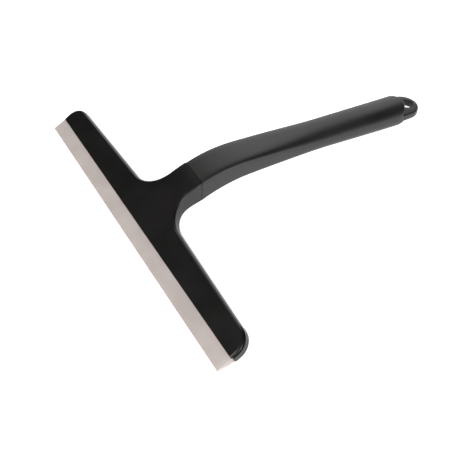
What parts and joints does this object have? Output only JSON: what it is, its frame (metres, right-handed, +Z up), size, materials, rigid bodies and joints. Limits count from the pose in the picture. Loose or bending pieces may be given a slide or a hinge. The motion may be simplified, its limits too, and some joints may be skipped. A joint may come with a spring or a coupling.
{
  "type": "window cleaning squeegee",
  "caption": "Window squeegee with a wide T head, a soft silicone lip that bends in its groove, a bent hollow grip and a hanging loop.",
  "frame": {"origin": "on the floor, under the middle of the squeegee's box", "axes": "+X along the blade, +Y from the blade towards the hanging loop, +Z up from the floor it stands on"},
  "size_m": [0.25, 0.235, 0.031],
  "materials": {
    "head_plastic": "satin",
    "grip_plastic": "satin",
    "silicone": "matte",
    "screw_steel": "satin"
  },
  "bodies": {
    "frame": {"head_shell": "head_plastic", "head_base": "head_plastic", "end_cap_left": "head_plastic", "end_cap_right": "head_plastic", "base_screws": "screw_steel", "grip_shell": "grip_plastic", "grip_cover": "grip_plastic", "grip_screws": "screw_steel", "tenon_screw": "screw_steel", "hanging_loop": "grip_plastic"},
    "blade_lip": {"blade": "silicone"}
  },
  "joints": [
    {"name": "lip_bend", "type": "hinge", "parent": "frame", "child": "blade_lip", "pos_m": [0, -0.10425, 0.00477], "axis": [1, 0, 0], "range_deg": [-18, 18], "stiffness_Nm_per_rad": 0.3}
  ]
}
